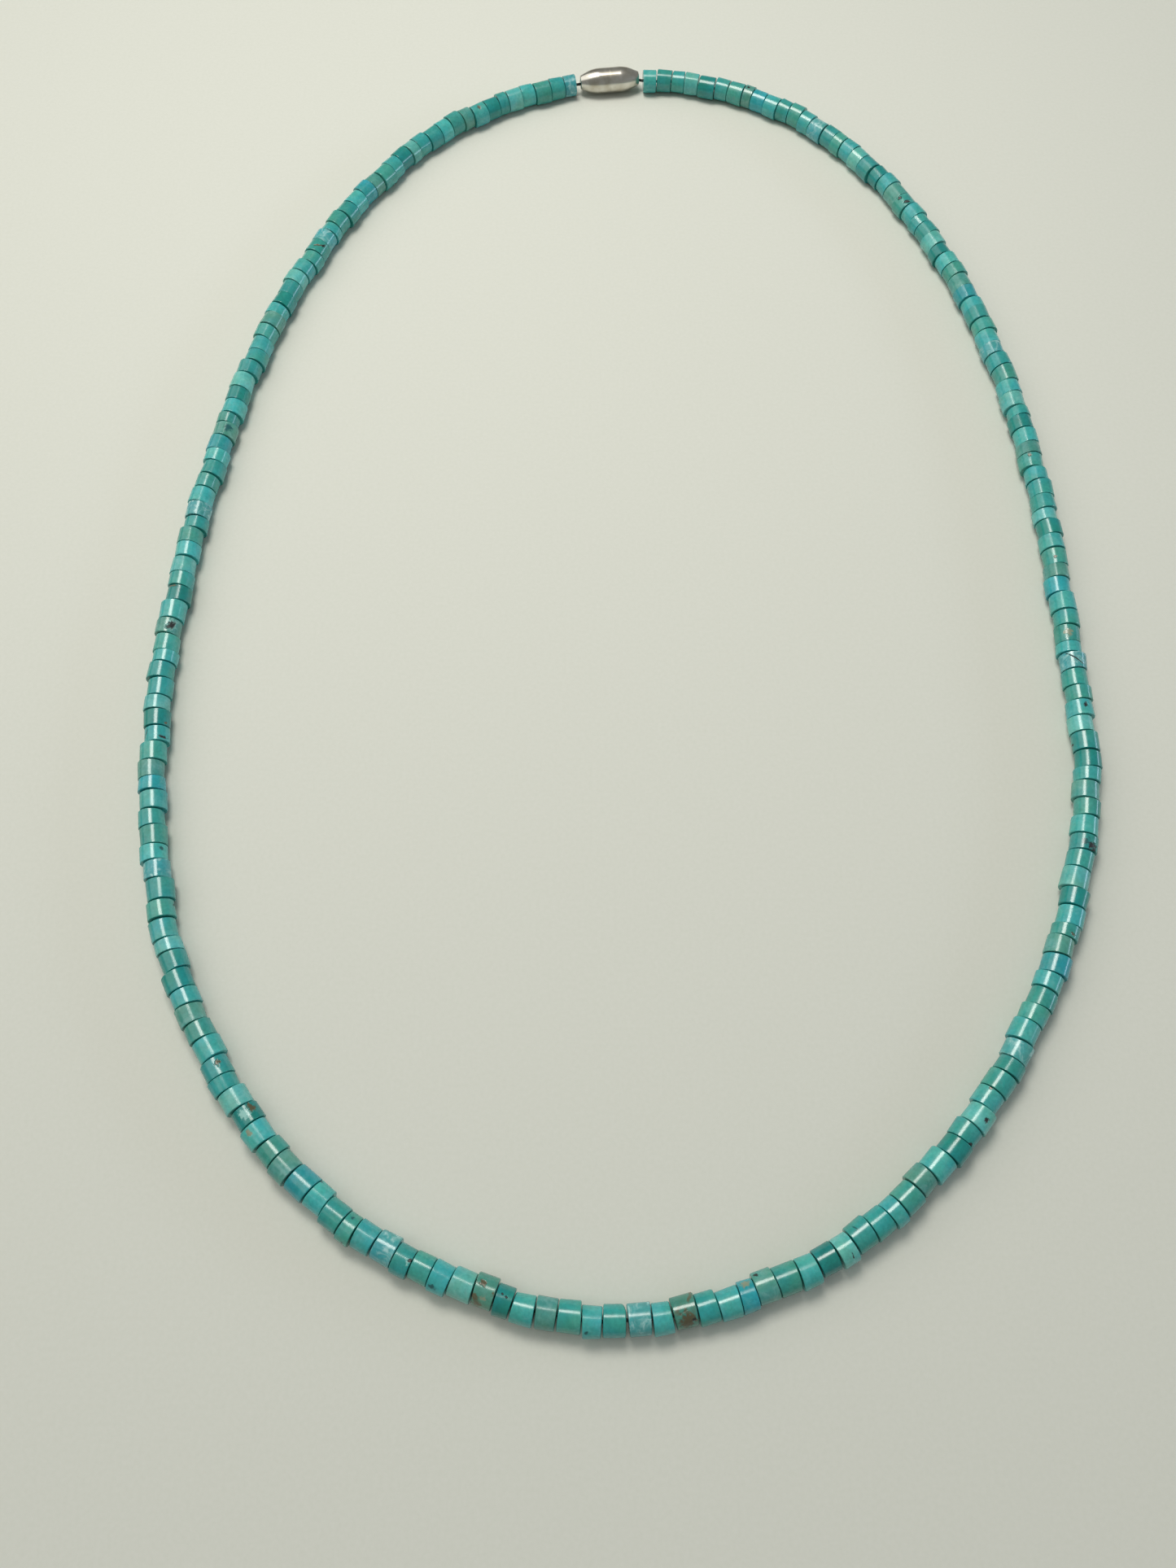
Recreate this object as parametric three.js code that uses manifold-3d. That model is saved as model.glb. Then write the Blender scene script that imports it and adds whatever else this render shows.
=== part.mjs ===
// A necklace of one string of polished stone beads, each a short cylinder drilled through its
// axis, lying flat on a table in the loop that it takes by itself. A plain barrel clasp closes
// the string at the back. Millimetres, +Z up, the table at z = 0. The origin is the middle of
// the loop, the front of the necklace lies towards -Y and the clasp towards +Y.

import * as THREE from 'three';
import { mergeVertices } from 'three/addons/utils/BufferGeometryUtils.js';
import Module from 'manifold-3d';

// Beads, measured across their flats. Every bead has one flat on the table.
const beadDiameter = 4.0;
const beadLength = 2.7;
const beadSides = 12;
const beadGap = 0.04;

// The thread that the beads are strung on
const threadDiameter = 0.5;
const threadSides = 5;
const bareThread = 1.0;

// The clasp is a barrel that narrows at both ends to a flat where the thread goes in.
const claspLength = 12.0;
const claspDiameter = 4.6;
const claspEndDiameter = 2.4;
const claspTaper = 2.6;
const claspSides = 12;
const claspPlace = 0.496;

// Free space between the two halves at the front, and between a thread's end and the clasp
const meetingGap = 0.3;

// The loop that the string lies in, from the thread's line on one side to that on the other
const loopWidth = 144.6;
const loopDepth = 232.4;

// The loop's line seen from above, chosen by hand, in shares of half its width and half its
// depth. It starts at the middle of the front and goes round by the left side, the back and
// the right side.
const stringRoute = [
  [0.001, -0.996], [-0.266, -0.966], [-0.530, -0.886], [-0.744, -0.750],
  [-0.893, -0.585], [-0.972, -0.404], [-1.000, -0.214], [-0.990, -0.024],
  [-0.956, 0.165], [-0.898, 0.355], [-0.806, 0.538], [-0.669, 0.710],
  [-0.476, 0.861], [-0.203, 0.963], [0.119, 0.994], [0.430, 0.936],
  [0.668, 0.798], [0.826, 0.621], [0.925, 0.430], [0.978, 0.238],
  [0.999, 0.049], [0.997, -0.142], [0.987, -0.333], [0.911, -0.515],
  [0.775, -0.683], [0.582, -0.832], [0.321, -0.946],
];

// No two neighbouring beads are alike. Each list is read round and round along the string:
// a bead's length as a share of beadLength, its thickness and its step to one side as shares
// of beadDiameter, and how far it stands askew on the thread.
const lengthShares = [
  1.04, 0.92, 1.1, 0.98, 1.06, 0.8, 1.02, 1.12, 0.95, 1.0, 0.88, 1.08, 1.03, 0.72, 1.1, 1.0, 1.2,
];
const thicknessShares = [1.0, 0.98, 1.01, 0.99, 0.97, 1.0, 1.02, 0.985, 1.0, 0.96, 1.01];
const sideShares = [0, 0.06, -0.03, 0.02, 0.08, 0.03, -0.07, -0.02, 0.05];
const skewDegrees = [0, 1.4, 2.6, 3.0, 2.0, 0.6, -0.8, -2.2, -2.8, -1.6, -0.4, 0.9, 0.3];

const wasm = await Module();
wasm.setup();

const up = new THREE.Vector3(0, 0, 1);
const routeSteps = 4000;

const turquoise = new THREE.MeshStandardMaterial({
  color: '#3f9f9c',
  roughness: 0.22,
  metalness: 0,
});
const silver = new THREE.MeshStandardMaterial({
  color: '#c9c7c1',
  roughness: 0.28,
  metalness: 1,
});

function roundPick(list, index) {
  return list[index % list.length];
}

// A regular outline with this size across its flats has its corners this far out.
function cornerRadius(acrossFlats, sides) {
  return acrossFlats / 2 / Math.cos(Math.PI / sides);
}

// A bar about +Y with a regular outline, one flat of which faces down.
function bar(acrossFlats, sides, length) {
  const radius = cornerRadius(acrossFlats, sides);
  const corners = [];
  for (let i = 0; i < sides; i += 1) {
    const angle = (i + 0.5) / sides * 2 * Math.PI - Math.PI / 2;
    corners.push(new THREE.Vector2(radius * Math.cos(angle), radius * Math.sin(angle)));
  }
  const outline = new THREE.Shape(corners);
  const geometry = new THREE.ExtrudeGeometry(outline, { depth: length, bevelEnabled: false });
  geometry.translate(0, 0, -length / 2);
  geometry.rotateX(Math.PI / 2);
  return geometry;
}

// Lays a shape made about +Y along a direction, with its underside still facing the table.
function layAlong(geometry, direction, centre) {
  const along = direction.clone().normalize();
  const sideways = new THREE.Vector3().crossVectors(along, up).normalize();
  const upwards = new THREE.Vector3().crossVectors(sideways, along);
  const lie = new THREE.Matrix4().makeBasis(sideways, along, upwards).setPosition(centre);
  return geometry.applyMatrix4(lie);
}

function toManifold(geometry) {
  geometry.deleteAttribute('normal');
  geometry.deleteAttribute('uv');
  const merged = mergeVertices(geometry);
  return new wasm.Manifold(new wasm.Mesh({
    numProp: 3,
    vertProperties: new Float32Array(merged.attributes.position.array),
    triVerts: new Uint32Array(merged.index.array),
  }));
}

function toGeometry(solid) {
  const mesh = solid.getMesh();
  const geometry = new THREE.BufferGeometry();
  geometry.setAttribute('position', new THREE.BufferAttribute(mesh.vertProperties, 3));
  geometry.setIndex(new THREE.BufferAttribute(mesh.triVerts, 1));
  geometry.computeVertexNormals();
  return geometry;
}

// The loop as a smooth closed curve. Distances run from the middle of the front, and side is
// 1 for the way round by the left and -1 for the way round by the right.
const route = new THREE.CatmullRomCurve3(
  stringRoute.map(([x, y]) => new THREE.Vector3(x * loopWidth / 2, y * loopDepth / 2, 0)),
  true,
  'catmullrom',
  0.5,
);
route.arcLengthDivisions = routeSteps;
const loopLength = route.getLength();

function placeOnLoop(side, distance) {
  const share = side > 0 ? distance / loopLength : 1 - distance / loopLength;
  const tangent = route.getTangentAt(share);
  return { point: route.getPointAt(share), heading: Math.atan2(tangent.y, tangent.x) };
}

function directionOf(heading) {
  return new THREE.Vector3(Math.cos(heading), Math.sin(heading), 0);
}

function turnBetween(heading, otherHeading) {
  const turn = Math.abs(heading - otherHeading) % (2 * Math.PI);
  return Math.min(turn, 2 * Math.PI - turn);
}

// The next bead starts where the inner edges of the two beads, which lie at an angle on the
// curve, are still beadGap apart.
function nextBead(side, before, slack) {
  const index = before.index + 1;
  const length = beadLength * roundPick(lengthShares, index);
  const thickness = beadDiameter * roundPick(thicknessShares, index);
  const skew = THREE.MathUtils.degToRad(roundPick(skewDegrees, index));
  const guess = placeOnLoop(side, before.end + length / 2);
  const turn = turnBetween(guess.heading + skew, before.heading);
  const start = before.end + beadGap + slack + turn * beadDiameter / 2;
  const { point, heading } = placeOnLoop(side, start + length / 2);
  const sideStep = new THREE.Vector3(-Math.sin(heading), Math.cos(heading), 0);
  const centre = point.clone().addScaledVector(sideStep, beadDiameter * roundPick(sideShares, index));
  centre.z = thickness / 2;
  return { index, length, thickness, centre, heading: heading + skew, end: start + length };
}

// Beads from the middle of the front as far as they fit. The slack is added to every gap.
function layBeads(side, reach, slack) {
  const front = { index: -1, heading: placeOnLoop(side, 0).heading, end: meetingGap / 2 - beadGap };
  const beads = [];
  let bead = nextBead(side, front, slack);
  while (bead.end <= reach) {
    beads.push(bead);
    bead = nextBead(side, bead, slack);
  }
  return beads;
}

// The length that is left over at the clasp is shared out between the beads.
function fitBeads(side, reach) {
  const pushedUp = layBeads(side, reach, 0);
  const slack = (reach - pushedUp.at(-1).end) / pushedUp.length;
  return layBeads(side, reach + beadLength / 2, slack);
}

function beadSolid(bead) {
  const geometry = bar(bead.thickness, beadSides, bead.length);
  return toManifold(layAlong(geometry, directionOf(bead.heading), bead.centre));
}

function threadSolid(from, to) {
  const stretch = to.clone().sub(from);
  const middle = from.clone().add(to).multiplyScalar(0.5);
  const geometry = bar(threadDiameter, threadSides, stretch.length());
  return toManifold(layAlong(geometry, stretch, middle));
}

// One half of the string: its beads fused with the thread that runs from the first bead's
// middle through all the others to the clasp.
function beadString(name, beads, threadEnd) {
  const threadHeight = beadDiameter / 2;
  const stops = beads.map((bead) => bead.centre.clone().setZ(threadHeight));
  stops.push(threadEnd);
  const solids = beads.map(beadSolid);
  for (let i = 1; i < stops.length; i += 1) {
    solids.push(threadSolid(stops[i - 1], stops[i]));
  }
  const mesh = new THREE.Mesh(toGeometry(wasm.Manifold.union(solids)), turquoise);
  mesh.name = name;
  return mesh;
}

function barrelClasp(centre, direction) {
  const endRadius = cornerRadius(claspEndDiameter, claspSides);
  const bodyRadius = cornerRadius(claspDiameter, claspSides);
  const halfLength = claspLength / 2;
  const shoulder = halfLength - claspTaper;
  const profile = [
    new THREE.Vector2(0, -halfLength),
    new THREE.Vector2(endRadius, -halfLength),
    new THREE.Vector2(bodyRadius, -shoulder),
    new THREE.Vector2(bodyRadius, shoulder),
    new THREE.Vector2(endRadius, halfLength),
    new THREE.Vector2(0, halfLength),
  ];
  const flatDown = Math.PI + Math.PI / claspSides;
  const geometry = new THREE.LatheGeometry(profile, claspSides, flatDown);
  const solid = toManifold(layAlong(geometry, direction, centre));
  const mesh = new THREE.Mesh(toGeometry(solid), silver);
  mesh.name = 'clasp';
  return mesh;
}

const claspDistance = claspPlace * loopLength;
const claspSpot = placeOnLoop(1, claspDistance);
const claspDirection = directionOf(claspSpot.heading);
const claspCentre = claspSpot.point.clone().setZ(claspDiameter / 2);
const threadStop = claspLength / 2 + meetingGap;
const beadStop = claspLength / 2 + bareThread;

const leftBeads = fitBeads(1, claspDistance - beadStop);
const rightBeads = fitBeads(-1, loopLength - claspDistance - beadStop);

const group = new THREE.Group();
group.add(beadString(
  'bead_string_left',
  leftBeads,
  claspCentre.clone().addScaledVector(claspDirection, -threadStop),
));
group.add(beadString(
  'bead_string_right',
  rightBeads,
  claspCentre.clone().addScaledVector(claspDirection, threadStop),
));
group.add(barrelClasp(claspCentre, claspDirection));

export default group;
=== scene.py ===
import bisect
import math

import bmesh
import bpy
from mathutils import Matrix, Vector, noise


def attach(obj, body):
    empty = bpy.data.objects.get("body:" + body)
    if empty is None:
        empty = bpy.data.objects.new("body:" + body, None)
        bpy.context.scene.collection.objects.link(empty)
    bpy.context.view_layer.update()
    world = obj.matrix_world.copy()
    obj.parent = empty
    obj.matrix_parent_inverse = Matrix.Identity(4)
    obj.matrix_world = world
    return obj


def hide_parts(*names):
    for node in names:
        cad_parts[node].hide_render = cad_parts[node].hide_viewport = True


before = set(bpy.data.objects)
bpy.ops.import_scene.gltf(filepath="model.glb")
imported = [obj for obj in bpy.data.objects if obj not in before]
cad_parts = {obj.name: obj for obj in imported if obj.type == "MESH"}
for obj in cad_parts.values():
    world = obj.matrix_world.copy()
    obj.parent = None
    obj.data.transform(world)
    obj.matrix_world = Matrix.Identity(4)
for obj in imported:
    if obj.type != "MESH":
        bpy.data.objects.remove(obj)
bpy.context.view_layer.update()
print("frame loaded")

mm = 0.001

# The camera looks down steeply on the loop, from above its front edge.
camera = {
    "place": (-0.0049, -0.1123, 0.1666),
    "lookDown": 66.7,          # degrees below the horizon
    "lens": 27.03,
    "sensor": 36.0,
}

cameraData = bpy.data.cameras.new("camera")
cameraData.lens = camera["lens"]
cameraData.sensor_width = camera["sensor"]
cameraData.clip_start = 0.01
cameraData.clip_end = 10
cameraObject = bpy.data.objects.new("camera", cameraData)
cameraObject.location = camera["place"]
cameraObject.rotation_euler = (math.radians(90 - camera["lookDown"]), 0, 0)
bpy.context.scene.collection.objects.link(cameraObject)
bpy.context.scene.camera = cameraObject
print("camera set")


# The loop's line seen from above, in shares of half its width and half its depth. It starts at
# the middle of the front and goes round by the left side, the back and the right side.
loop = {
    "width": 144.6 * mm,
    "depth": 232.4 * mm,
    "steps": 4000,
    "route": [
        (0.001, -0.996), (-0.266, -0.966), (-0.530, -0.886), (-0.744, -0.750),
        (-0.893, -0.585), (-0.972, -0.404), (-1.000, -0.214), (-0.990, -0.024),
        (-0.956, 0.165), (-0.898, 0.355), (-0.806, 0.538), (-0.669, 0.710),
        (-0.476, 0.861), (-0.203, 0.963), (0.119, 0.994), (0.430, 0.936),
        (0.668, 0.798), (0.826, 0.621), (0.925, 0.430), (0.978, 0.238),
        (0.999, 0.049), (0.997, -0.142), (0.987, -0.333), (0.911, -0.515),
        (0.775, -0.683), (0.582, -0.832), (0.321, -0.946),
    ],
}

routePoints = [Vector((x * loop["width"] / 2, y * loop["depth"] / 2, 0)) for x, y in loop["route"]]


def curvePoint(t):
    # smooth closed curve through the route's points, t from 0 to 1
    count = len(routePoints)
    whole, part = divmod(t * count, 1)
    before, start, end, after = (routePoints[(int(whole) + i) % count] for i in (-1, 0, 1, 2))
    leaving = (end - before) / 2
    arriving = (after - start) / 2
    return (start + leaving * part
            + (3 * (end - start) - 2 * leaving - arriving) * part ** 2
            + (2 * (start - end) + leaving + arriving) * part ** 3)


lengthsSoFar = [0.0]
lastPoint = curvePoint(0)
for step in range(1, loop["steps"] + 1):
    point = curvePoint(step / loop["steps"])
    lengthsSoFar.append(lengthsSoFar[-1] + (point - lastPoint).length)
    lastPoint = point
loopLength = lengthsSoFar[-1]


def placeOnLoop(side, distance):
    # distance runs from the middle of the front; side is 1 round by the left and -1 by the right
    reach = distance if side > 0 else loopLength - distance
    i = min(bisect.bisect_right(lengthsSoFar, reach) - 1, loop["steps"] - 1)
    share = (reach - lengthsSoFar[i]) / (lengthsSoFar[i + 1] - lengthsSoFar[i])
    t = (i + share) / loop["steps"]
    ahead = curvePoint(min(t + 0.0001, 1)) - curvePoint(max(t - 0.0001, 0))
    return curvePoint(t), math.atan2(ahead.y, ahead.x)


def directionOf(heading):
    return Vector((math.cos(heading), math.sin(heading), 0))


def turnBetween(heading, otherHeading):
    turn = abs(heading - otherHeading) % (2 * math.pi)
    return min(turn, 2 * math.pi - turn)


def roundPick(values, index):
    return values[index % len(values)]


print("loop of", round(loopLength / mm, 1), "mm")


# Each bead is a short drilled cylinder with tumbled rims. The lists are read round and round
# along the string, so that no two neighbours are alike.
bead = {
    "diameter": 4.0 * mm,
    "length": 2.7 * mm,
    "gap": 0.04 * mm,
    "meetingGap": 0.3 * mm,
    "bareThread": 1.0 * mm,
    "lengthShares": [1.04, 0.92, 1.1, 0.98, 1.06, 0.8, 1.02, 1.12, 0.95, 1.0, 0.88, 1.08, 1.03,
                     0.72, 1.1, 1.0, 1.2],
    "thicknessShares": [1.0, 0.98, 1.01, 0.99, 0.97, 1.0, 1.02, 0.985, 1.0, 0.96, 1.01],
    "sideShares": [0, 0.06, -0.03, 0.02, 0.08, 0.03, -0.07, -0.02, 0.05],
    "skewDegrees": [0, 1.4, 2.6, 3.0, 2.0, 0.6, -0.8, -2.2, -2.8, -1.6, -0.4, 0.9, 0.3],
    # finer unevenness of the real stones, which are cut and ground by hand
    "sides": 20,
    "rim": 0.12 * mm,          # how far the tumbling has rounded the rims
    "slantDegrees": [0.5, -2.0, 3.0, -1.0, 2.0, -3.5, 0.0, 3.5, -2.5, 1.5, -0.5],
    "frontSlant": 1.6,         # degrees, which opens a wedge where the two halves meet
    "frontReach": 0.09 * mm,   # how much longer the two front beads are towards each other
    "tapers": [0.0, 0.026, -0.018, 0.010, -0.030, 0.020, -0.012],
    "ovals": [0.0, 0.010, -0.006, 0.014, -0.012],
    "turn": 2.4,               # radians from each bead to the next, round the thread
    "dents": 0.006 * mm,
    "dentsPerMm": 0.9,
    "chips": {(1, 0): 0.40 * mm},      # how far a bead's inner front corner is worn off
}

clasp = {
    "length": 12.0 * mm,
    "diameter": 4.6 * mm,
    "endDiameter": 2.4 * mm,
    "taper": 2.6 * mm,
    "place": 0.496,            # share of the loop's length
    "boreDiameter": 0.8 * mm,
    "boreDepth": 1.2 * mm,
    "seamWidth": 0.16 * mm,    # the fine line where the barrel's two halves are screwed together
    "seamDepth": 0.07 * mm,
    "shoulderRound": 1.3 * mm,
    "rim": 0.2 * mm,
    "sides": 48,
}


def nextBead(side, before, slack):
    index = before["index"] + 1
    length = bead["length"] * roundPick(bead["lengthShares"], index)
    thickness = bead["diameter"] * roundPick(bead["thicknessShares"], index)
    skew = math.radians(roundPick(bead["skewDegrees"], index))
    guess = placeOnLoop(side, before["end"] + length / 2)[1]
    turn = turnBetween(guess + skew, before["heading"])
    start = before["end"] + bead["gap"] + slack + turn * bead["diameter"] / 2
    point, heading = placeOnLoop(side, start + length / 2)
    sideStep = Vector((-math.sin(heading), math.cos(heading), 0))
    centre = point + sideStep * bead["diameter"] * roundPick(bead["sideShares"], index)
    centre.z = thickness / 2
    return {"index": index, "side": side, "length": length, "thickness": thickness,
            "centre": centre, "heading": heading + skew, "end": start + length}


def layBeads(side, reach, slack):
    front = {"index": -1, "heading": placeOnLoop(side, 0)[1],
             "end": bead["meetingGap"] / 2 - bead["gap"]}
    laid = []
    following = nextBead(side, front, slack)
    while following["end"] <= reach:
        laid.append(following)
        following = nextBead(side, following, slack)
    return laid


def fitBeads(side, reach):
    # the length left over at the clasp is shared out between the beads
    pushedUp = layBeads(side, reach, 0)
    slack = (reach - pushedUp[-1]["end"]) / len(pushedUp)
    return layBeads(side, reach + bead["length"] / 2, slack)


claspDistance = clasp["place"] * loopLength
claspCentre, claspHeading = placeOnLoop(1, claspDistance)
claspCentre.z = clasp["diameter"] / 2
beadStop = clasp["length"] / 2 + bead["bareThread"]
leftBeads = fitBeads(1, claspDistance - beadStop)
rightBeads = fitBeads(-1, loopLength - claspDistance - beadStop)
print(len(leftBeads), "beads on the left,", len(rightBeads), "on the right")


# The kinds of stone, each with a letter. Marble is how much white runs through it, and matrix
# how much brown host rock.
stones = {
    "a": {"hex": "48b0ae", "marble": 0.12, "matrix": 0.0},    # bright aqua
    "t": {"hex": "379e99", "marble": 0.06, "matrix": 0.0},    # middle teal
    "d": {"hex": "1b8c87", "marble": 0.0, "matrix": 0.0},     # deep teal
    "g": {"hex": "43a096", "marble": 0.08, "matrix": 0.0},    # green teal
    "y": {"hex": "569b90", "marble": 0.2, "matrix": 0.0},     # dull grey green
    "p": {"hex": "68bab4", "marble": 0.2, "matrix": 0.0},     # pale aqua
    "b": {"hex": "30a3ab", "marble": 0.1, "matrix": 0.0},     # the bluest
    "m": {"hex": "50a6a9", "marble": 0.85, "matrix": 0.0},    # marbled with white
    "n": {"hex": "559383", "marble": 0.1, "matrix": 0.7},     # green with brown host rock
}

# Stones of one kind still differ in lightness, by these shares read round and round.
lightShares = [1.0, 1.07, 0.94, 1.03, 0.91, 1.05, 0.97, 1.09, 0.95, 1.0, 0.93, 1.06, 0.98]

# The stones follow one another in a made-up order, read round and round from the middle of the
# front, with a later start on the right. Two beads with host rock are named by side and number.
stoneOrder = "tagyadtpagtmagtabygadpt"
orderStart = {1: 0, -1: 11}
rockyBeads = ((1, 6), (-1, 2))

# Marks that stand out on single beads. Columns: side, bead, place along the bead
# (share of half its length, in the route's direction), degrees from the top towards the inside
# of the loop, length along and width round the bead in mm, turn in degrees, kind of mark.
marks = [
    (1, 1, 0.5, -40, 0.5, 0.5, 0, "smudge"),
    (1, 5, 0.25, 24, 0.34, 0.22, 35, "pit"),
    (1, 5, -0.25, 18, 0.34, 0.22, 35, "pit"),
    (1, 6, 0.35, 28, 1.0, 0.8, 20, "rust"),
    (1, 6, -0.1, -24, 0.8, 0.6, 0, "sand"),
    (1, 8, 0.3, -42, 0.9, 0.7, 0, "smudge"),
    (1, 10, -0.75, 12, 0.8, 0.9, 15, "chalk"),
    (1, 10, -0.8, 14, 0.5, 0.6, 30, "pit"),
    (1, 13, 0.2, 44, 0.4, 0.5, 20, "smudge"),
    (1, 13, -0.4, -66, 0.5, 0.5, 0, "smudge"),
    (1, 15, 0.8, 66, 0.5, 0.5, 0, "smudge"),
    (1, 19, 0.4, -16, 0.9, 0.7, 10, "sand"),
    (1, 20, 0.35, 38, 1.2, 1.1, 30, "rust"),
    (1, 20, 0.1, 0, 1.5, 1.3, 0, "chalk"),
    (1, 23, 0.2, 22, 1.1, 0.7, 50, "rust"),
    (1, 32, 0.3, 84, 0.5, 0.4, 0, "pit"),
    (1, 35, 0.3, 52, 0.45, 0.8, 30, "smudge"),
    (1, 42, -0.55, 44, 0.42, 1.1, 10, "pit"),
    (1, 42, 0.0, -42, 1.7, 0.35, 30, "smudge"),
    (1, 43, -0.7, 58, 0.4, 0.5, 0, "rust"),
    (1, 49, 0.05, 28, 1.9, 1.7, 20, "chalk"),
    (1, 49, -0.05, 30, 1.5, 1.1, 35, "pit"),
    (1, 51, 0.8, -18, 0.4, 1.4, 0, "rust"),
    (1, 63, 0.1, 30, 1.5, 1.2, 0, "smudge"),
    (1, 79, 0.0, 20, 1.6, 0.4, 60, "rust"),
    (1, 79, 0.3, 40, 1.1, 0.3, 20, "pit"),
    (-1, 2, 0.0, -34, 1.9, 2.1, 20, "rust"),
    (-1, 2, -0.6, -36, 0.6, 0.5, 0, "pit"),
    (-1, 5, 0.0, 50, 1.2, 1.0, 0, "sand"),
    (-1, 6, 0.55, 56, 0.5, 0.5, 0, "pit"),
    (-1, 10, -0.2, -30, 0.22, 1.1, 10, "pit"),
    (-1, 11, 0.2, 40, 0.22, 0.9, -20, "smudge"),
    (-1, 18, 0.85, -40, 0.4, 0.6, 0, "pit"),
    (-1, 19, 0.0, -22, 0.7, 0.75, 0, "pit"),
    (-1, 20, -0.85, 22, 0.4, 0.6, 0, "rust"),
    (-1, 30, 0.5, -20, 0.5, 0.6, 0, "rust"),
    (-1, 35, 0.45, -20, 1.1, 1.4, 20, "pit"),
    (-1, 35, 0.1, 10, 1.2, 1.0, 20, "smudge"),
    (-1, 41, 0.2, 90, 0.4, 0.4, 0, "pit"),
    (-1, 43, -0.1, -8, 0.9, 0.7, 20, "pit"),
    (-1, 46, 0.0, 5, 0.2, 3.2, 40, "pit"),
    (-1, 48, 0.0, 15, 1.4, 1.4, 0, "sand"),
    (-1, 53, 0.2, 20, 0.5, 0.4, 0, "rust"),
    (-1, 60, -0.5, 20, 0.7, 0.6, 0, "rust"),
    (-1, 83, 0.5, 10, 0.7, 1.2, 20, "pit"),
    (-1, 83, -0.6, 30, 0.5, 1.0, 0, "pit"),
    (1, 96, 0.1, 10, 0.7, 0.9, 20, "rust"),
    (-1, 98, -0.2, 0, 0.5, 0.6, 0, "pit"),
]

# colour of each kind of mark, and how deep it is sunk in the polish
markLooks = {
    "pit": {"hex": "14191a", "depth": 1.0},
    "rust": {"hex": "55513a", "depth": 0.3},
    "sand": {"hex": "82917c", "depth": 0.1},
    "chalk": {"hex": "88c2bb", "depth": 0.0},
    "smudge": {"hex": "1e5f60", "depth": 0.0},
}


def linearColour(hexCode):
    channels = [int(hexCode[i:i + 2], 16) / 255 for i in (0, 2, 4)]
    linear = [c / 12.92 if c <= 0.04045 else ((c + 0.055) / 1.055) ** 2.4 for c in channels]
    return (*linear, 1.0)


def addNode(tree, kind, settings=None, links=None):
    # settings are node properties by name or input values by name or number, links the sockets
    node = tree.nodes.new(kind)
    for name, value in (settings or {}).items():
        if isinstance(name, str) and hasattr(node, name):
            setattr(node, name, value)
        else:
            node.inputs[name].default_value = value
    for name, socket in (links or {}).items():
        tree.links.new(socket, node.inputs[name])
    return node


def newMaterial(name, roughness, ior=1.5):
    material = bpy.data.materials.new(name)
    material.use_nodes = True
    tree = material.node_tree
    shader = tree.nodes["Principled BSDF"]
    shader.inputs["Roughness"].default_value = roughness
    shader.inputs["IOR"].default_value = ior
    return material, tree, shader


def addPiece(name, form, material):
    # makes an object in the scene of finished geometry
    mesh = bpy.data.meshes.new(name)
    form.to_mesh(mesh)
    form.free()
    mesh.materials.append(material)
    piece = bpy.data.objects.new(name, mesh)
    bpy.context.scene.collection.objects.link(piece)
    return piece


def layAlong(centre, heading):
    # lays what was made about +Y along a heading, with its underside still facing the table
    along = directionOf(heading)
    sideways = along.cross(Vector((0, 0, 1)))
    turned = Matrix((sideways, along, (0, 0, 1))).transposed().to_4x4()
    return Matrix.Translation(centre) @ turned


# Sizes of the stone's patterns in mm, and how strong they are
turquoiseLook = {
    "cloudSize": 2.4,
    "hueSize": 3.2,
    "mottleSize": 0.45,
    "marbleSize": 1.5,
    "matrixSize": 1.7,
    "markEdge": 0.7,           # how far noise pushes a mark's outline, in shares of its size
    "markDepth": 1.2,          # how far into the bead a mark reaches
    "grainStep": (7.3, 3.1, 5.7),      # how far apart two neighbours' patterns are taken
    "grainSides": 50,          # and those of the two halves of the string
    "roughness": 0.2,
}


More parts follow.
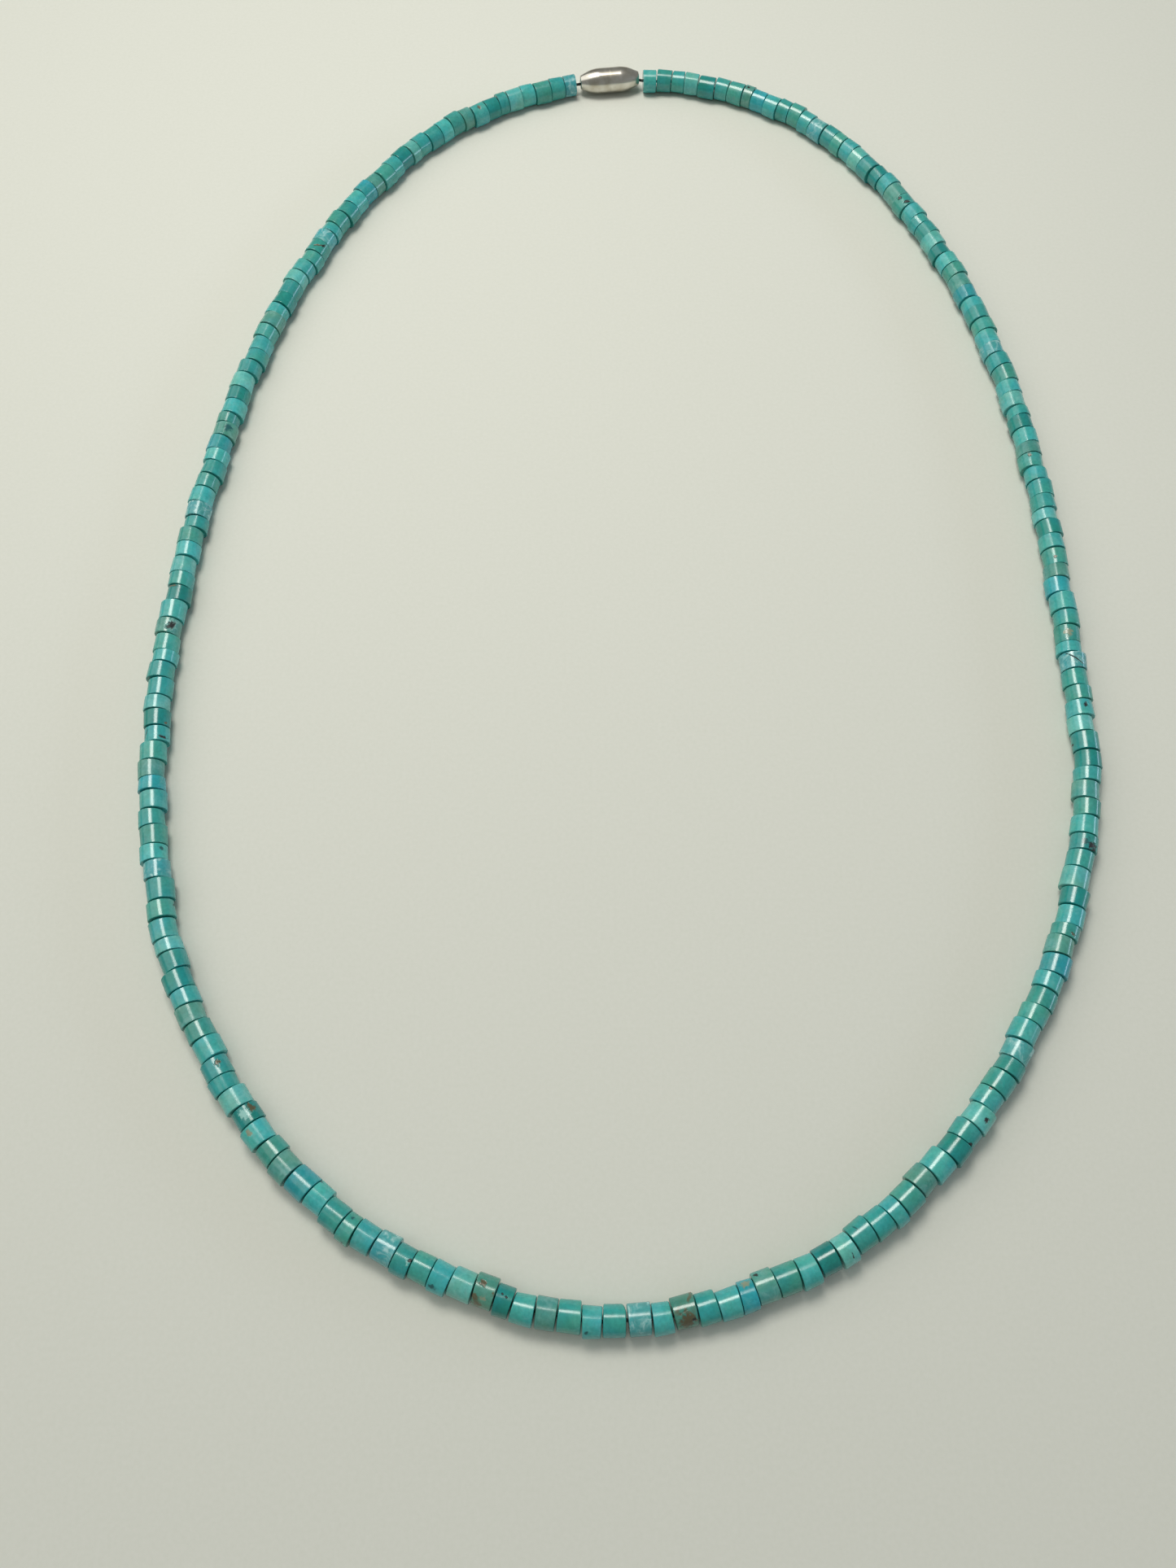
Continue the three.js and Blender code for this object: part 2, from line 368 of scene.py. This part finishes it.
def polishedTurquoise():
    # Tumbled and waxed turquoise: opaque, softly clouded, with a wet-looking polish, white
    # chalky wisps in some beads and brown or black host rock in others.
    look = turquoiseLook
    material, tree, shader = newMaterial("polished turquoise", look["roughness"], 1.61)
    tone = addNode(tree, "ShaderNodeAttribute", {"attribute_name": "beadTone"})
    amounts = addNode(tree, "ShaderNodeAttribute", {"attribute_name": "beadAmounts"})
    grain = addNode(tree, "ShaderNodeAttribute", {"attribute_name": "grainPlace"}).outputs["Vector"]
    amount = addNode(tree, "ShaderNodeSeparateXYZ", links={"Vector": amounts.outputs["Vector"]})

    # soft clouds of darker stone
    clouds = addNode(tree, "ShaderNodeTexNoise",
                     {"Scale": 1 / look["cloudSize"], "Detail": 3.0, "Roughness": 0.5},
                     {"Vector": grain})
    shade = addNode(tree, "ShaderNodeValToRGB", links={"Fac": clouds.outputs["Fac"]})
    shade.color_ramp.elements[0].position = 0.34
    shade.color_ramp.elements[0].color = (0.54, 0.82, 0.82, 1)
    shade.color_ramp.elements[1].position = 0.64
    shade.color_ramp.elements[1].color = (0.86, 0.96, 0.97, 1)
    clouded = addNode(tree, "ShaderNodeMix",
                      {"data_type": "RGBA", "blend_type": "MULTIPLY", 0: 1.0},
                      {6: tone.outputs["Color"], 7: shade.outputs["Color"]})

    # from greener to bluer across a bead
    hues = addNode(tree, "ShaderNodeTexNoise",
                   {"noise_dimensions": "4D", "W": 3.0, "Scale": 1 / look["hueSize"],
                    "Detail": 1.0},
                   {"Vector": grain})
    drift = addNode(tree, "ShaderNodeValToRGB", links={"Fac": hues.outputs["Fac"]})
    drift.color_ramp.elements[0].position = 0.35
    drift.color_ramp.elements[0].color = (1.18, 1.0, 0.88, 1)
    drift.color_ramp.elements[1].position = 0.65
    drift.color_ramp.elements[1].color = (0.80, 1.0, 1.08, 1)
    drifted = addNode(tree, "ShaderNodeMix",
                      {"data_type": "RGBA", "blend_type": "MULTIPLY", 0: 0.8},
                      {6: clouded.outputs[2], 7: drift.outputs["Color"]})

    # fine mottling, just coarse enough to show
    mottle = addNode(tree, "ShaderNodeTexNoise",
                     {"Scale": 1 / look["mottleSize"], "Detail": 4.0, "Roughness": 0.6},
                     {"Vector": grain})
    speckle = addNode(tree, "ShaderNodeMapRange",
                      {"From Min": 0.3, "From Max": 0.7, "To Min": 0.86, "To Max": 1.12},
                      {"Value": mottle.outputs["Fac"]})
    mottled = addNode(tree, "ShaderNodeVectorMath", {"operation": "SCALE"},
                      {0: drifted.outputs[2], "Scale": speckle.outputs["Result"]})

    # white wisps, where the marble amount lets them through
    wisps = addNode(tree, "ShaderNodeTexNoise",
                    {"Scale": 1 / look["marbleSize"], "Detail": 5.0, "Roughness": 0.6,
                     "Distortion": 1.0},
                    {"Vector": grain})
    wispShare = addNode(tree, "ShaderNodeMapRange",
                        {"interpolation_type": "SMOOTHSTEP", "From Min": 0.46, "From Max": 0.72},
                        {"Value": wisps.outputs["Fac"]})
    marble = addNode(tree, "ShaderNodeMath", {"operation": "MULTIPLY"},
                     {0: wispShare.outputs["Result"], 1: amount.outputs["X"]})
    marbled = addNode(tree, "ShaderNodeMix", {"data_type": "RGBA", 7: linearColour("a6d2d1")},
                      {0: marble.outputs[0], 6: mottled.outputs[0]})

    # brown host rock in patches and threads
    rock = addNode(tree, "ShaderNodeTexNoise",
                   {"noise_dimensions": "4D", "W": 8.0, "Scale": 1 / look["matrixSize"],
                    "Detail": 5.0, "Roughness": 0.6, "Distortion": 0.8},
                   {"Vector": grain})
    rockStart = addNode(tree, "ShaderNodeMath", {"operation": "MULTIPLY_ADD", 1: -0.28, 2: 0.72},
                        {0: amount.outputs["Y"]})
    rockEnd = addNode(tree, "ShaderNodeMath", {"operation": "ADD", 1: 0.14},
                      {0: rockStart.outputs[0]})
    rockShare = addNode(tree, "ShaderNodeMapRange", {"interpolation_type": "SMOOTHSTEP"},
                        {"Value": rock.outputs["Fac"], "From Min": rockStart.outputs[0],
                         "From Max": rockEnd.outputs[0]})
    rocky = addNode(tree, "ShaderNodeMix", {"data_type": "RGBA", 7: linearColour("5c5a43")},
                    {0: rockShare.outputs["Result"], 6: marbled.outputs[2]})

    # the marks on single beads; a mark's place counts from its middle, in shares of its size
    ragged = addNode(tree, "ShaderNodeTexNoise", {"Scale": 2.2, "Detail": 3.0}, {"Vector": grain})
    push = addNode(tree, "ShaderNodeMapRange",
                   {"From Min": 0.25, "From Max": 0.75, "To Min": -look["markEdge"],
                    "To Max": look["markEdge"]},
                   {"Value": ragged.outputs["Fac"]})
    colour = rocky.outputs[2]
    sunk = []
    for number in ("1", "2"):
        place = addNode(tree, "ShaderNodeAttribute", {"attribute_name": "markPlace" + number})
        paint = addNode(tree, "ShaderNodeAttribute", {"attribute_name": "markTone" + number})
        reach = addNode(tree, "ShaderNodeVectorMath", {"operation": "LENGTH"},
                        {0: place.outputs["Vector"]})
        pushed = addNode(tree, "ShaderNodeMath", {"operation": "ADD"},
                         {0: reach.outputs["Value"], 1: push.outputs["Result"]})
        share = addNode(tree, "ShaderNodeMapRange",
                        {"interpolation_type": "SMOOTHSTEP", "From Min": 1.3, "From Max": 0.55},
                        {"Value": pushed.outputs[0]})
        marked = addNode(tree, "ShaderNodeMix", {"data_type": "RGBA"},
                         {0: share.outputs["Result"], 6: colour, 7: paint.outputs["Color"]})
        colour = marked.outputs[2]
        depth = addNode(tree, "ShaderNodeMath", {"operation": "MULTIPLY"},
                        {0: share.outputs["Result"], 1: paint.outputs["Alpha"]})
        sunk.append(depth.outputs[0])
    tree.links.new(colour, shader.inputs["Base Color"])

    # pits and rock take less polish than the stone round them
    pits = addNode(tree, "ShaderNodeMath", {"operation": "MAXIMUM"}, {0: sunk[0], 1: sunk[1]})
    dull = addNode(tree, "ShaderNodeMath", {"operation": "MULTIPLY_ADD", 1: 0.25,
                                            2: look["roughness"]}, {0: pits.outputs[0]})
    smear = addNode(tree, "ShaderNodeMapRange", {"To Min": -0.04, "To Max": 0.06},
                    {"Value": clouds.outputs["Fac"]})
    polish = addNode(tree, "ShaderNodeMath", {"operation": "ADD"},
                     {0: dull.outputs[0], 1: smear.outputs["Result"]})
    tree.links.new(polish.outputs[0], shader.inputs["Roughness"])
    relief = addNode(tree, "ShaderNodeMath", {"operation": "MULTIPLY_ADD", 1: -8.0},
                     {0: pits.outputs[0], 2: clouds.outputs["Fac"]})
    bump = addNode(tree, "ShaderNodeBump", {"Strength": 1.0, "Distance": 0.02 * mm},
                   {"Height": relief.outputs[0]})
    tree.links.new(bump.outputs["Normal"], shader.inputs["Normal"])
    return material


def beadFormMesh():
    # one bead about +Y, with the diameter and length of an average one
    form = bmesh.new()
    bmesh.ops.create_cone(form, cap_ends=True, cap_tris=False, segments=bead["sides"],
                          radius1=bead["diameter"] / 2, radius2=bead["diameter"] / 2,
                          depth=bead["length"])
    rims = [e for e in form.edges if abs(e.verts[0].co.z - e.verts[1].co.z) < 1e-6]
    bmesh.ops.bevel(form, geom=rims, offset=bead["rim"], segments=1, profile=0.5,
                    affect="EDGES", material=-1)
    bmesh.ops.rotate(form, verts=form.verts, matrix=Matrix.Rotation(math.radians(-90), 3, "X"))
    mesh = bpy.data.meshes.new("beadForm")
    form.to_mesh(mesh)
    form.free()
    return mesh


def shapeBead(string, verts, laidBead):
    # turns the average bead into this one, still about +Y at the origin
    index, side = laidBead["index"], laidBead["side"]
    wide = laidBead["thickness"] / bead["diameter"]
    long = laidBead["length"] / bead["length"]
    oval = roundPick(bead["ovals"], index)
    taper = roundPick(bead["tapers"], index)
    bmesh.ops.rotate(string, verts=verts, matrix=Matrix.Rotation(index * bead["turn"], 3, "Y"))
    bmesh.ops.scale(string, vec=(wide * (1 + oval), long, wide * (1 - oval)), verts=verts)
    slants = []
    for interface in (index, index + 1):
        degrees = roundPick(bead["slantDegrees"], interface)
        slants.append(math.radians(-bead["frontSlant"] * side if interface == 0 else degrees))
    for v in verts:
        share = v.co.y / (laidBead["length"] / 2)
        frontEnd = share * side < 0
        rough = noise.noise(v.co / mm * bead["dentsPerMm"] + Vector((index * 5.1, side * 9.0, 0)))
        radial = Vector((v.co.x, 0, v.co.z))
        v.co += radial * taper * share + radial.normalized() * rough * bead["dents"]
        v.co.y += v.co.x * math.tan(slants[0] if frontEnd else slants[1])
        if index == 0 and frontEnd:
            v.co.y -= bead["frontReach"] * side
        if frontEnd:
            inward = max(v.co.x / laidBead["thickness"] * 2 - 0.5, 0) / 0.5
            v.co.y += bead["chips"].get((side, index), 0) * inward ** 1.5 * side


def weightNormals(piece):
    # keeps sides straight and lets only the narrow rims turn; faces here are about 1 mm2
    weighted = piece.modifiers.new("weighted normals", "WEIGHTED_NORMAL")
    weighted.weight = 100
    weighted.thresh = 0.2 * mm * mm


def markCoordinates(place, laidBead, mark):
    # where a point of the bead lies from the middle of a mark, in shares of the mark's size
    alongShare, degrees, long, wide, turn = mark[2:7]
    radius = laidBead["thickness"] / 2
    angle, twist = math.radians(degrees), math.radians(turn)
    outward = Vector((math.sin(angle), 0, math.cos(angle)))
    middle = outward * radius + Vector((0, alongShare * laidBead["length"] / 2, 0))
    across = Vector((math.cos(angle), 0, -math.sin(angle)))
    length = Vector((0, 1, 0)) * math.cos(twist) + across * math.sin(twist)
    width = across * math.cos(twist) - Vector((0, 1, 0)) * math.sin(twist)
    away = (place - middle) / mm
    return Vector((away.dot(length) / (long / 2), away.dot(width) / (wide / 2),
                   away.dot(outward) / turquoiseLook["markDepth"]))


noMark = (9, 9, 9)             # a place that lies outside any mark


def makeString(name, laid, nodeName, material):
    string = bmesh.new()
    layers = string.verts.layers
    tones = layers.float_color.new("beadTone")
    amounts = layers.float_vector.new("beadAmounts")
    grains = layers.float_vector.new("grainPlace")
    places = [layers.float_vector.new("markPlace" + n) for n in ("1", "2")]
    paints = [layers.float_color.new("markTone" + n) for n in ("1", "2")]
    formMesh = beadFormMesh()
    step = turquoiseLook["grainStep"]
    for laidBead in laid:
        index, side = laidBead["index"], laidBead["side"]
        first = len(string.verts)
        string.from_mesh(formMesh)
        string.verts.ensure_lookup_table()
        verts = string.verts[first:]
        shapeBead(string, verts, laidBead)
        letter = roundPick(stoneOrder, index + orderStart[side])
        stone = stones["n" if (side, index) in rockyBeads else letter]
        light = roundPick(lightShares, index + 5 * side)
        colour = (*(c * light for c in linearColour(stone["hex"])[:3]), 1.0)
        shift = Vector((index * step[0], index * step[1] + side * turquoiseLook["grainSides"],
                        index * step[2]))
        own = [mark for mark in marks if mark[0] == side and mark[1] == index]
        for v in verts:
            v[tones] = colour
            v[amounts] = (stone["marble"], stone["matrix"], 0)
            v[grains] = v.co / mm + shift
            for i in range(2):
                v[places[i]] = noMark
                if i < len(own):
                    v[places[i]] = markCoordinates(v.co, laidBead, own[i])
                    look = markLooks[own[i][7]]
                    v[paints[i]] = (*linearColour(look["hex"])[:3], look["depth"])
        lowest = min(v.co.z for v in verts)
        centre = laidBead["centre"].xy.to_3d() - Vector((0, 0, lowest))
        bmesh.ops.transform(string, matrix=layAlong(centre, laidBead["heading"]), verts=verts)
    bpy.data.meshes.remove(formMesh)
    for face in string.faces:
        face.smooth = True
    piece = addPiece(name, string, material)
    weightNormals(piece)
    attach(piece, "root")
    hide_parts(nodeName)


turquoise = polishedTurquoise()
makeString("beads_left", leftBeads, "bead_string_left", turquoise)
makeString("beads_right", rightBeads, "bead_string_right", turquoise)
print("beads strung")


# The thread runs from the clasp through every bead and back to the clasp.
thread = {
    "diameter": 0.5 * mm,
    "height": bead["diameter"] / 2,
    "sides": 10,
    "twist": 0.55 * mm,        # length of one turn of its plies
}


def waxedThread():
    # Waxed nylon beading thread: tightly twisted plies with a dull waxy sheen, and painted shade in
    # the grooves between the plies.
    material, tree, shader = newMaterial("waxed nylon thread", 0.55, 1.53)
    place = addNode(tree, "ShaderNodeAttribute", {"attribute_name": "threadPlace"})
    part = addNode(tree, "ShaderNodeSeparateXYZ", links={"Vector": place.outputs["Vector"]})
    sine = addNode(tree, "ShaderNodeMath", {"operation": "SINE"}, {0: part.outputs["X"]})
    cosine = addNode(tree, "ShaderNodeMath", {"operation": "COSINE"}, {0: part.outputs["X"]})
    one = addNode(tree, "ShaderNodeMath", {"operation": "MULTIPLY"},
                  {0: sine.outputs[0], 1: part.outputs["Y"]})
    ply = addNode(tree, "ShaderNodeMath", {"operation": "MULTIPLY_ADD"},
                  {0: cosine.outputs[0], 1: part.outputs["Z"], 2: one.outputs[0]})
    # painted shade: the colour darkens where the twist pattern sinks between the plies, the same
    # pattern that drives the bump below
    plyGrooveShade = addNode(tree, "ShaderNodeValToRGB", links={"Fac": ply.outputs[0]})
    plyGrooveShade.color_ramp.elements[0].color = linearColour("1c2626")
    plyGrooveShade.color_ramp.elements[1].color = linearColour("3d4c4b")
    tree.links.new(plyGrooveShade.outputs["Color"], shader.inputs["Base Color"])
    bump = addNode(tree, "ShaderNodeBump", {"Strength": 0.8, "Distance": 0.03 * mm},
                   {"Height": ply.outputs[0]})
    tree.links.new(bump.outputs["Normal"], shader.inputs["Normal"])
    return material


def makeThread():
    into = clasp["length"] / 2 - clasp["boreDepth"] / 2
    claspDirection = directionOf(claspHeading)
    path = [claspCentre - claspDirection * into]
    path += [laidBead["centre"] for laidBead in reversed(leftBeads)]
    path += [laidBead["centre"] for laidBead in rightBeads]
    path.append(claspCentre + claspDirection * into)
    path = [Vector((p.x, p.y, thread["height"])) for p in path]
    strand = bmesh.new()
    threadPlace = strand.verts.layers.float_vector.new("threadPlace")
    travelled = 0.0
    before = None
    for i, spot in enumerate(path):
        ahead = (path[min(i + 1, len(path) - 1)] - path[max(i - 1, 0)]).normalized()
        ring = bmesh.ops.create_circle(strand, cap_ends=i in (0, len(path) - 1),
                                       segments=thread["sides"], radius=thread["diameter"] / 2)
        if i:
            travelled += (spot - path[i - 1]).length
        for v in ring["verts"]:
            angle = math.atan2(v.co.y, v.co.x)
            v[threadPlace] = (travelled / thread["twist"] * 2 * math.pi, math.cos(angle * 2),
                              math.sin(angle * 2))
        sideways = ahead.cross(Vector((0, 0, 1)))
        lie = Matrix((sideways, (0, 0, 1), ahead)).transposed().to_4x4()
        bmesh.ops.transform(strand, matrix=Matrix.Translation(spot) @ lie, verts=ring["verts"])
        edges = [e for e in strand.edges if all(v in ring["verts"] for v in e.verts)]
        if before:
            bmesh.ops.bridge_loops(strand, edges=before + edges)
        before = edges
    bmesh.ops.recalc_face_normals(strand, faces=strand.faces)
    for face in strand.faces:
        face.smooth = len(face.verts) == 4
    piece = addPiece("thread", strand, waxedThread())
    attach(piece, "root")


makeThread()
print("thread pulled through")


def polishedSilver():
    # Polished sterling silver: bright, slightly warm, with hairlines from wear round the barrel.
    material, tree, shader = newMaterial("polished sterling silver", 0.24)
    shader.inputs["Metallic"].default_value = 1.0
    where = addNode(tree, "ShaderNodeTexCoord")
    centred = addNode(tree, "ShaderNodeMapping",
                      {"vector_type": "TEXTURE", "Location": claspCentre,
                       "Rotation": (0, 0, claspHeading)},
                      {"Vector": where.outputs["Object"]})
    stretched = addNode(tree, "ShaderNodeMapping",
                        {"Scale": (1 / (0.12 * mm), 1 / (3.0 * mm), 1 / (3.0 * mm))},
                        {"Vector": centred.outputs["Vector"]})
    hairlines = addNode(tree, "ShaderNodeTexNoise", {"Scale": 1.0, "Detail": 2.0},
                        {"Vector": stretched.outputs["Vector"]})
    tarnish = addNode(tree, "ShaderNodeTexNoise", {"Scale": 1 / (2.5 * mm), "Detail": 3.0},
                      {"Vector": centred.outputs["Vector"]})
    tint = addNode(tree, "ShaderNodeValToRGB", links={"Fac": tarnish.outputs["Fac"]})
    tint.color_ramp.elements[0].position = 0.35
    tint.color_ramp.elements[0].color = linearColour("bdb7a8")
    tint.color_ramp.elements[1].position = 0.65
    tint.color_ramp.elements[1].color = linearColour("dddad2")
    tree.links.new(tint.outputs["Color"], shader.inputs["Base Color"])
    gloss = addNode(tree, "ShaderNodeMapRange", {"To Min": 0.2, "To Max": 0.3},
                    {"Value": hairlines.outputs["Fac"]})
    tree.links.new(gloss.outputs["Result"], shader.inputs["Roughness"])
    return material


def makeClasp():
    half = clasp["length"] / 2
    shoulder = half - clasp["taper"]
    body = clasp["diameter"] / 2
    end = clasp["endDiameter"] / 2
    bore = clasp["boreDiameter"] / 2
    seam = clasp["seamWidth"] / 2
    halfProfile = [(bore * 0.02, half - clasp["boreDepth"]), (bore, half - clasp["boreDepth"]),
                   (bore, half), (end, half), (body, shoulder), (body, seam),
                   (body - clasp["seamDepth"], seam * 0.6)]
    profile = halfProfile + [(radius, -y) for radius, y in reversed(halfProfile)]
    barrel = bmesh.new()
    verts = [barrel.verts.new((radius, y, 0)) for radius, y in profile]
    edges = [barrel.edges.new(pair) for pair in zip(verts, verts[1:])]
    bmesh.ops.spin(barrel, geom=verts + edges, axis=(0, 1, 0), cent=(0, 0, 0),
                   angle=2 * math.pi, steps=clasp["sides"], use_merge=True)
    bmesh.ops.remove_doubles(barrel, verts=barrel.verts, dist=1e-6)
    bmesh.ops.holes_fill(barrel, edges=[e for e in barrel.edges if e.is_boundary])
    bmesh.ops.recalc_face_normals(barrel, faces=barrel.faces)
    for place, roundness in ((shoulder, clasp["shoulderRound"]), (half, clasp["rim"])):
        ring = [e for e in barrel.edges
                if all(abs(abs(v.co.y) - place) < 1e-6 and v.co.xz.length > bore * 1.5
                       for v in e.verts)]
        bmesh.ops.bevel(barrel, geom=ring, offset=roundness, segments=5, profile=0.5,
                        affect="EDGES", material=-1)
    bmesh.ops.transform(barrel, matrix=layAlong(claspCentre, claspHeading), verts=barrel.verts)
    for face in barrel.faces:
        face.smooth = True
    piece = addPiece("clasp_barrel", barrel, polishedSilver())
    weightNormals(piece)
    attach(piece, "root")
    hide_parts("clasp")


makeClasp()
print("clasp made")


def makeFloor():
    # Uncoated white card, quite matt, with a faint tooth.
    material, tree, shader = newMaterial("matt white card", 0.85)
    where = addNode(tree, "ShaderNodeTexCoord")
    tooth = addNode(tree, "ShaderNodeTexNoise", {"Scale": 1 / (0.6 * mm), "Detail": 3.0},
                    {"Vector": where.outputs["Object"]})
    shade = addNode(tree, "ShaderNodeValToRGB", links={"Fac": tooth.outputs["Fac"]})
    shade.color_ramp.elements[0].color = linearColour("d2d5cb")
    shade.color_ramp.elements[1].color = linearColour("dadcd4")
    tree.links.new(shade.outputs["Color"], shader.inputs["Base Color"])
    card = bmesh.new()
    bmesh.ops.create_grid(card, x_segments=1, y_segments=1, size=1.5)
    floor = addPiece("floor", card, material)


makeFloor()

# A small bright light behind on the left draws the streaks on the beads, a large soft one gives
# the broad shadow towards the lower right, and a cool one low on the right draws the thin line
# along the beads' right edges.
lights = [
    {"name": "streak", "place": (-0.07, 0.15, 0.40), "size": (0.17, 0.17), "power": 1.08,
     "hex": "fffaf2"},
    {"name": "softbox", "place": (-1.25, 0.50, 1.40), "size": (2.20, 2.20), "power": 16.0,
     "hex": "fffdf8"},
    {"name": "fill", "place": (1.90, 0.20, 0.45), "size": (1.20, 0.25), "power": 7.0,
     "hex": "d3e6ff"},
]
for light in lights:
    data = bpy.data.lights.new(light["name"], "AREA")
    data.shape = "RECTANGLE"
    data.size, data.size_y = light["size"]
    data.energy = light["power"]
    data.color = linearColour(light["hex"])[:3]
    lamp = bpy.data.objects.new(light["name"], data)
    lamp.location = light["place"]
    lamp.rotation_euler = (-Vector(light["place"])).to_track_quat("-Z", "Y").to_euler()
    bpy.context.scene.collection.objects.link(lamp)

world = bpy.data.worlds.new("pale room")
world.use_nodes = True
world.node_tree.nodes["Background"].inputs["Color"].default_value = linearColour("dfe2de")
world.node_tree.nodes["Background"].inputs["Strength"].default_value = 0.32
bpy.context.scene.world = world
bpy.context.scene.view_settings.view_transform = "Standard"
print("lit")
